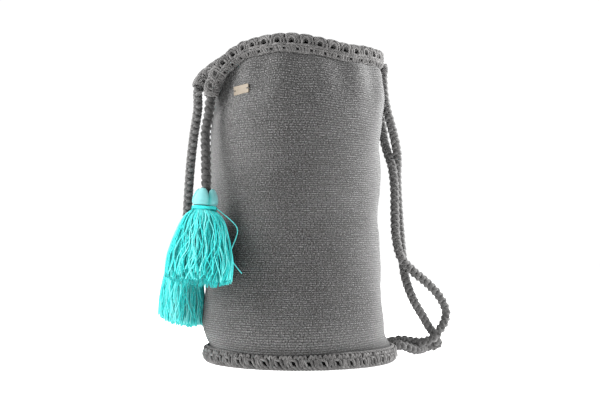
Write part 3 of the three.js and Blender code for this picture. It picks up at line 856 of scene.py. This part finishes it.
def wall_point(angle, share, inset):
    """Place on the wall at an angle and a share of the height up to the shoulder."""
    clear_of_lip = smoothstep(angle_from_front(angle), LIP_HALF_ANGLE, 2 * LIP_HALF_ANGLE)
    depth = GATHER_DEPTH * clear_of_lip * smoothstep(share, GATHER_START, 1)
    radius = through(WALL_KNOTS, share, 1) + depth * np.cos(np.radians(GATHER_COUNT * angle)) - inset
    for middle, level, dent, half_angle, half_share in DENTS:
        a = (angle - middle) / half_angle
        b = (share - level) / half_share
        radius = radius - dent * np.exp(-2 * (a * a + b * b))
    height = BAND_HEIGHT + CLEARANCE + share * (SHOULDER_HEIGHT - BAND_HEIGHT - CLEARANCE)
    return polar(angle, radius, height, through(WALL_KNOTS, share, 2))


def seat_places(line, angles):
    """Top edge of the wall, tucked into the casing and running softly across between the casing's ends."""
    _, under, half = rim_frames(line)
    seat = line + under * (half - SEAT_TUCK + LIP_SLACK * (1 + under[:, 2:]))
    turn = np.degrees(np.unwrap(np.arctan2(seat[:, 0], -seat[:, 1])))
    turn = np.concatenate([[turn[-1] - 360], np.maximum.accumulate(turn), [turn[0] + 360]])
    seat = np.vstack([seat[-1], seat, seat[0]])
    fine = np.arange(0, 360, 0.5)
    edge = sampled(seat, turn, fine)
    reach = np.arange(-SEAT_SOFTNESS, SEAT_SOFTNESS + 1)
    weight = np.cos(reach * np.pi / 2 / (SEAT_SOFTNESS + 1)) ** 2
    soft = sum(w * np.roll(edge, shift, axis=0) for w, shift in zip(weight, reach)) / weight.sum()
    return joined(*(np.interp(angles, fine, column, period=360) for column in soft.T))


def wall_columns(line, angles, inset, rows):
    """Columns of the wall from foot to seat: level rows up to the yoke, evenly spaced ones above it."""
    level_rows = round(LEVEL_SHARE * rows)
    levels = np.linspace(WALL_FOOT_HEIGHT, YOKE_HEIGHT, level_rows, endpoint=False)
    top = share_at(crease_height(angles))
    seats = seat_places(line, angles)
    seats[:, :2] -= inset * unit(seats[:, :2])
    lift = np.linspace(0, np.pi / 2, 25)[1:, None]
    columns = []
    for angle, share, seat in zip(angles, top, seats):
        heights = np.array([WALL_FOOT_HEIGHT, (WALL_FOOT_HEIGHT + BAND_HEIGHT) / 2])
        foot = polar(angle, BASE_INNER_RADIUS - inset, heights)
        body = wall_point(angle, np.linspace(0, share, 120), inset)
        crease = body[-1]
        lip = crease + (seat - crease) * np.hstack([1 - np.cos(lift), 1 - np.cos(lift), np.sin(lift)])
        column = np.vstack([foot, body, lip])
        along = lengths_along(column)
        lower = np.interp(levels, column[:, 2], along)
        yoke = np.interp(YOKE_HEIGHT, column[:, 2], along)
        upper = np.linspace(yoke, along[-1], rows - level_rows)
        columns.append(at_lengths(column, np.concatenate([lower, upper])))
    return np.stack(columns, axis=1)


def grid_normals(points):
    up = np.gradient(points, axis=0)
    side = np.roll(points, -1, axis=1) - np.roll(points, 1, axis=1)
    return unit(np.cross(side, up))


def hang_over_band(points):
    """Lets the foot of the wall bulge out and down over the top of the base band on one side."""
    angle = np.degrees(np.arctan2(points[..., 0], -points[..., 1]))
    side = 1 - smoothstep(angle_from_front(angle - HANG_ANGLE), HANG_FULL, HANG_SPREAD)
    above = points[..., 2] - BAND_HEIGHT - CLEARANCE
    side = side * (above > -0.4)
    swell = smoothstep(above, -4, HANG_CREST) * (1 - smoothstep(above, HANG_CREST, HANG_RISE))
    points[..., :2] += HANG_OUT * (side * swell)[..., None] * unit(points[..., :2])
    points[..., 2] -= HANG_DROP * side * (1 - smoothstep(above, 0, HANG_RISE))
    return points


def knit_outside(line, angles):
    """Outer face of the wall with a ridge for each row of stitches and soft unevenness."""
    rows = 3 * KNIT_ROWS
    points = hang_over_band(wall_columns(line, angles, 0, rows))
    count = points.shape[:2]
    ridge = np.array([-1, 0.8, 0.2])[np.arange(rows) % 3][:, None]
    relief = KNIT_RIDGE * ridge * (1 + 0.35 * soft_noise(*count, KNIT_ROWS, 70))
    soft = KNIT_SWELL * soft_noise(*count, 16, 14) + KNIT_PUCKER * soft_noise(*count, 60, 40)
    calm = smoothstep(np.arange(rows), *KNIT_CALM_ROWS)[:, None]
    points = points + (relief + calm * soft)[..., None] * grid_normals(points)
    points[..., 2] += KNIT_WANDER * calm * soft_noise(*count, 50, 24)
    return points


def make_knit_wall(line, material):
    angles = 360 * np.arange(KNIT_COLUMNS) / KNIT_COLUMNS
    outside = knit_outside(line, angles)
    inside = hang_over_band(wall_columns(line, angles, WALL_THICKNESS, WALL_INSIDE_ROWS))[::-1]
    points = np.vstack([outside, inside])
    rows = len(points)
    foot_share = (BAND_HEIGHT - WALL_FOOT_HEIGHT) / (YOKE_HEIGHT - WALL_FOOT_HEIGHT)
    # Tones paint shade on the knit: full on the foot rows inside the band, fading over the rows just above
    # it, and under the lip
    tones = np.zeros((rows, KNIT_COLUMNS))
    foot_rows = round(foot_share * LEVEL_SHARE * len(outside))
    tones[:foot_rows] = 1
    tones[foot_rows:foot_rows + FOOT_SHADE_ROWS] = np.linspace(FOOT_SHADE, 0, FOOT_SHADE_ROWS)[:, None]
    # Painted shade under the lip, strongest at the front and fading towards the lip's sides
    painted_lip_shade = LIP_SHADE * (1 - smoothstep(angle_from_front(angles), 0.7 * LIP_HALF_ANGLE, LIP_HALF_ANGLE))
    tones += painted_lip_shade * smoothstep(points[..., 2] - crease_height(angles), 0, 8)
    faces, corners = grid_faces(rows + 1, KNIT_COLUMNS, True)
    place = corners * np.array([1 / 3, KNIT_WALES / KNIT_COLUMNS])
    shape = Shape()
    shape.add(points.reshape(-1, 3), faces % (rows * KNIT_COLUMNS), place, tones.ravel())
    piece = make_piece("knit_wall", shape, material, ["body_fabric"])


# Crochet


def bowed_strands(start, end, bow=0.0, sink=-1.0, crest=0.35, lift=0.0):
    """Strands in places (along, up, out), bowed sideways or upwards and rising between their ends."""
    t = np.linspace(0, 1, 9)
    arch = np.sin(np.pi * t)
    start, end = np.broadcast_arrays(np.asarray(start, float), np.asarray(end, float))
    step = end - start
    along = start[:, :1] + step[:, :1] * t + np.reshape(bow, (-1, 1)) * arch
    up = start[:, 1:] + step[:, 1:] * t + lift * arch
    out = sink + (crest - sink) * arch ** 0.6
    lines = joined(along, up, out)
    return lines + random.uniform(-0.3, 0.3, (len(lines), 1, 3))


def repeated(middles, offsets, height):
    """Places at each offset from each middle, all at one height."""
    along = (np.asarray(middles)[:, None] + np.asarray(offsets)[None, :]).ravel()
    return joined(along, height)


def clusters(middles, first, last, *form):
    """Bowed strands at each middle, from the offsets and height in first to those in last."""
    return bowed_strands(repeated(middles, *first), repeated(middles, *last), *form)


def chain_strands(starts, height, step, half_width, crest=0.55):
    """Chain stitches: two legs for each link, closing under the next link."""
    legs = []
    for side in (-1, 1):
        first = joined(starts, height + 0.25 * side * half_width)
        last = first + (1.45 * step, 0.5 * side * half_width)
        legs.append(bowed_strands(first, last, 0, -0.8, crest, side * half_width))
    return np.vstack(legs)


def twisted_strands(length, height, half_width, lead, out=0.0):
    """Two strands twisted round each other along the whole edge."""
    along = np.arange(0, length + 1, 1.2)
    turn = 2 * np.pi * along / lead
    strands = []
    for start in (0, np.pi):
        up = height + half_width * np.cos(turn + start)
        strands.append(joined(along, up, out + half_width * np.sin(turn + start)))
    return np.array(strands)


def pierced(shape, place, length, steps, ups, holes, depth):
    """Underlying fabric of a band, with its eyelets left open."""
    along = np.linspace(0, length, steps)
    chart = joined(along[:, None], ups[None, :], depth)
    faces, corners = grid_faces(steps, len(ups), False)
    middle = chart.reshape(-1, 3)[faces].mean(axis=1)
    kept = np.ones(len(faces), bool)
    for hole_along, hole_up, half_along, half_up, slant in holes:
        up = (middle[:, 1] - hole_up) / half_up
        near = (middle[:, 0] - hole_along - slant * (middle[:, 1] - hole_up)) / half_along
        kept &= near ** 2 + up ** 2 > 1
    points = place(chart).reshape(-1, 3)
    shape.add(points, faces[kept], corners[kept] * 1.0, np.zeros(len(points)))


def rim_section():
    """Rounded section of the casing: lengths round it from the middle of its outside, places and normals."""
    turn = np.linspace(-np.pi, np.pi, 361)
    cos, sin = np.cos(turn), np.sin(turn)
    out = (RIM_WIDTH / 2 - RIM_YARN) * np.sign(cos) * np.abs(cos) ** 0.62
    up = (RIM_HEIGHT / 2 - RIM_YARN) * np.sign(sin) * np.abs(sin) ** 0.62
    section = joined(out, up)
    round_it = lengths_along(section)
    direction = unit(np.gradient(section, axis=0))
    return round_it - round_it[-1] / 2, section, joined(direction[:, 1], -direction[:, 0])


def rim_placer(line):
    """Turns places on the casing (along, round, out) into points."""
    out, under, half_height = rim_frames(line)
    lengths = lengths_along(line)
    round_it, section, normal = rim_section()
    half = round_it[-1]
    squeeze = 2 * half_height[:, 0] / RIM_HEIGHT

    def place(chart):
        along, turn, lift = chart[..., 0], (chart[..., 1] + half) % (2 * half) - half, chart[..., 2:]
        centre, o, u = (sampled(part, lengths, along) for part in (line, out, under))
        flat = sampled(section, round_it, turn) + lift * sampled(normal, round_it, turn)
        up = flat[..., 1:] * np.interp(along, lengths, squeeze)[..., None]
        return centre + flat[..., :1] * o - up * u

    return place, lengths[-1], half


def rim_face(length):
    """Strands of one face of the casing: two staggered rows of clusters with chains between."""
    pitch = length / RIM_EYELETS
    lower = (np.arange(RIM_EYELETS) + RIM_LOWER_PLACE) * pitch
    upper = (np.arange(RIM_EYELETS) + RIM_UPPER_PLACE) * pitch
    posts = np.array([-3.9, 0, 3.9])
    fan = np.array([-4.3, -1.45, 1.45, 4.3])
    links = np.arange(3 * RIM_EYELETS) * pitch / 3
    post_bow = np.tile(-0.08 * posts, RIM_EYELETS)
    fan_bow = np.tile(0.22 * fan, RIM_EYELETS)
    return np.vstack([
        clusters(lower, (0.9 * posts, -1.9), (posts, 5.1), post_bow, -0.9),
        clusters(lower, ([-2.4, 1.0], 10), ([-1.0, 2.4], 4.1), 0, -0.6, 0.2),
        clusters(upper, ([-4.4], 4.1), ([4.4], 4.1), 0, -0.6, 0.5, 3.2),
        clusters(upper, ([-6.2], 4.6), ([6.2], 4.6), 0, -0.5, 1.0, 5.6),
        clusters(upper, ([-7.2], 8.9), ([7.2], 8.9), 0, -0.2, 1.1, 3.0),
        clusters(upper, ([-6.8], 12.0), ([6.8], 12.0), 0, 0, 1.1, 2.2),
        clusters(upper, (0.7 * fan + 1.2, -9.2), (fan - 0.9, -2.7), fan_bow, -1, 0.9),
        chain_strands(links, -2.2, pitch / 3, 1.0),
        chain_strands(links, -9.8, pitch / 3, 1.0, 0.3),
    ])


def make_rim(line, material):
    place, length, half = rim_placer(line)
    pitch = length / RIM_EYELETS
    open_pitches = range(RIM_CLOSED_PITCHES, RIM_EYELETS - RIM_CLOSED_PITCHES)
    holes = [((k + RIM_UPPER_PLACE) * pitch, *RIM_UPPER_FORM, 0) for k in open_pitches]
    holes += [((k + RIM_LOWER_PLACE) * pitch, *RIM_LOWER_FORM, 0) for k in open_pitches]
    along = np.linspace(0, length, RIM_PITCH_STEPS * RIM_EYELETS + 1)
    closed = 1 - smoothstep(np.minimum(along, length - along), 1.6 * pitch, 2.6 * pitch)
    depth = (RIM_END_BACKING_RISE * closed + RIM_BACKING)[:, None]
    fabric = Shape()
    pierced(fabric, place, length, len(along), np.linspace(-half, half, RIM_ROUND_STEPS), holes, depth)
    strands = rim_face(length)
    add_tubes(fabric, place(strands), RIM_YARN, 6)
    mouth = np.linspace(-half, half, 60)
    for edge in (1.0, 2.8, length - 2.8, length - 1.0):
        add_tubes(fabric, place(joined(edge, mouth, 0.2))[None], RIM_YARN, 7)
    make_piece("rim_crochet", fabric, material, ["rim_band"])
    inside = Shape()
    mirrored = strands * (1, -1, 1) + (0, half, 0)
    add_tubes(inside, place(mirrored), RIM_YARN, 4)
    make_piece("rim_crochet_inside", inside, material)


def band_place(chart):
    """Turns places on the base band (along, up, out) into points."""
    along, up, out = chart[..., 0], chart[..., 1], chart[..., 2]
    edge = np.abs(up / BAND_HEIGHT - 0.5) * 2
    radius = BASE_RADIUS - BAND_YARN - BAND_ROUND * edge ** 2.6 + out
    return polar(np.degrees(along / BASE_RADIUS), radius, up)


def band_strands(length):
    """Strands of the base band: steep pairs between slanting eyelets, loops above and strokes below."""
    holes = (np.arange(BAND_EYELETS) + BAND_EYELET_PLACE) * (length / BAND_EYELETS)
    return np.vstack([
        clusters(holes, ([5.1, 15.1], 4.4), ([1.6, 11.6], 11.8), 0, -0.7, 1.1),
        clusters(holes, ([8.0, 11.8], 3.8), ([6.4, 7.6], 12.0), 0, -0.7, 0.8),
        clusters(holes, ([10.6], 6.2), ([9.4], 12.2), 0, -0.9, 0.4),
        clusters(holes, ([-5.2], 12.0), ([1.6], 11.0), 0, -0.8, 0.9),
        clusters(holes, ([0.4, 5.2, 9.8], 12.2), ([4.8, 9.6, 14], 12.6), 0, -0.9, 1.3, 3.6),
        clusters(holes, ([-1, 4.5, 10], 5.2), ([4.4, 9.9, 15.4], 2.0), 0, -1.0, 1.1),
    ])


def make_band(material):
    length = 2 * np.pi * BASE_RADIUS
    pitch = length / BAND_EYELETS
    holes = []
    for middle, form in ((BAND_EYELET_PLACE, BAND_EYELET_FORM), (BAND_SLIT_PLACE, BAND_SLIT_FORM)):
        holes += [((k + middle) * pitch, *form, BAND_SLANT) for k in range(BAND_EYELETS)]
    shape = Shape()
    ups = np.linspace(0.4, BAND_HEIGHT - 0.6, BAND_UP_STEPS)
    pierced(shape, band_place, length, BAND_PITCH_STEPS * BAND_EYELETS + 1, ups, holes, BAND_BACKING)
    add_tubes(shape, band_place(band_strands(length)), BAND_YARN, 6)
    add_tubes(shape, band_place(twisted_strands(length, 2.0, 0.6, pitch / 2)), BAND_YARN, 6)
    add_tubes(shape, band_place(twisted_strands(length, 17.5, 0.5, pitch / 3, -0.6)), 0.8 * BAND_YARN, 6)
    make_piece("base_crochet", shape, material, ["base_band"])


def make_disc(material):
    """Round base worked in rounds, each a row of small humps."""
    shape = Shape()
    gauge = BASE_INNER_RADIUS / DISC_ROUNDS
    half = DISC_THICKNESS / 2
    for number in range(DISC_ROUNDS):
        radius = (number + 0.5) * gauge
        humps = max(int(2 * np.pi * radius / DISC_HUMP), 5)
        angle = np.linspace(0, 360, 4 * humps + 1)
        line = polar(angle, radius, half)
        swell = 0.9 + 0.1 * np.cos(np.radians(angle * humps))
        add_tubes(shape, line[None], half * swell, 6)
        joint = polar(angle, max(radius - gauge / 2, 0.5), half)
        add_tubes(shape, joint[None], 0.7 * half, 4, [0.1])
    make_piece("base_rounds", shape, material, ["base_disc"])


def sew_plate(plate, material):
    """Stitches through the plate's holes and round its short sides."""
    shape = Shape()
    box = np.array(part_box("label_plate")) * 1000
    middle = box.mean(axis=0)
    turn = math.radians(PLATE_ANGLE)
    tilt = math.radians(PLATE_TILT)
    facing = np.array([math.sin(turn), -math.cos(turn), 0])
    level = np.array([math.cos(turn), math.sin(turn), 0])
    side = math.cos(tilt) * level + math.sin(tilt) * np.array([0, 0, 1])
    for hand in (-1, 1):
        inside = (PLATE_WIDTH / 2 - PLATE_HOLE_INSET) * hand
        outside = (PLATE_WIDTH / 2 + 0.9) * hand
        top = ((inside + outside) / 2, 1.35)
        route = [(inside, -0.4), (inside, 1.1), top, (outside, 0.7), (outside, -0.9)]
        line = smooth_line([middle + along * side + out * facing for along, out in route], 5)
        add_tubes(shape, line[None], 0.45, 6, [0.3])
    make_piece("plate_stitches", shape, material)
    plate.data.materials.clear()
    plate.data.materials.append(plate_material("plate_satin"))


# Scene

place_camera()
add_floor()
set_world()
for light in LIGHTS:
    add_area_light(*light)

rope_form = {"fleck_share": 0.3, "ply_pitch": 3.2, "ply_depth": 0.15, "sheen": 0.25}
rope_yarn = yarn_material("rope_yarn", grey(0.085, 0.02), grey(0.125, 0.02), grey(0.22), **rope_form)
# A darker copy of the rope yarn for the drawstring's near end and its stretch in the casing: painted shade;
# the far end keeps the rope yarn
drawstring_yarn_painted_shade = yarn_material(
    "drawstring_yarn_painted_shade", grey(0.04, 0.02), grey(0.075, 0.02), grey(0.15), **rope_form,
)
tassel_thread = yarn_material(
    "tassel_thread", (0.0005, 0.22, 0.22, 1), (0.04, 0.86, 0.84, 1), (0.48, 1.0, 0.98, 1),
    fleck_share=0.5, ply_pitch=2.0, ply_depth=0.08, sheen=0.05,
)
tassel_cap = cap_material("tassel_cap_thread")

casing = rim_line()
held = held_rope_line(casing)
near_line = free_rope_line(held[0], held[MOUTH_RUN], DRAWSTRING_NEAR_ROUTE)
far_line = free_rope_line(held[-1], held[-1 - MOUTH_RUN], DRAWSTRING_FAR_ROUTE)

# The stretch in the casing and the near end take the darker copy: painted shade
make_rope("drawstring_in_rim", held, drawstring_yarn_painted_shade, HELD_ROPE_SHARE)
near_rope = make_rope("drawstring_end_near", near_line, drawstring_yarn_painted_shade)
far_rope = make_rope("drawstring_end_far", far_line, rope_yarn)
near_tassel = make_tassel("tassel_near", TASSEL_NEAR, near_line[-1], tassel_thread, tassel_cap)
far_tassel = make_tassel("tassel_far", TASSEL_FAR, far_line[-1], tassel_thread, tassel_cap)
for name, route, length in STRAPS:
    line = smooth_line(route)
    strap = make_rope(name, line, rope_yarn, whipped=True)
make_tail(tassel_thread)

crochet_yarn = yarn_material(
    "crochet_yarn", grey(0.068, 0.03), grey(0.14, 0.03), grey(0.24, 0.02),
    fleck_share=0.2, ply_pitch=2.6, ply_depth=0.1, sheen=0.25,
)
make_knit_wall(casing, knit_material("knit_cloth"))
make_rim(casing, crochet_yarn)
make_band(crochet_yarn)
make_disc(crochet_yarn)
sew_plate(bpy.data.objects["label_plate"], crochet_yarn)
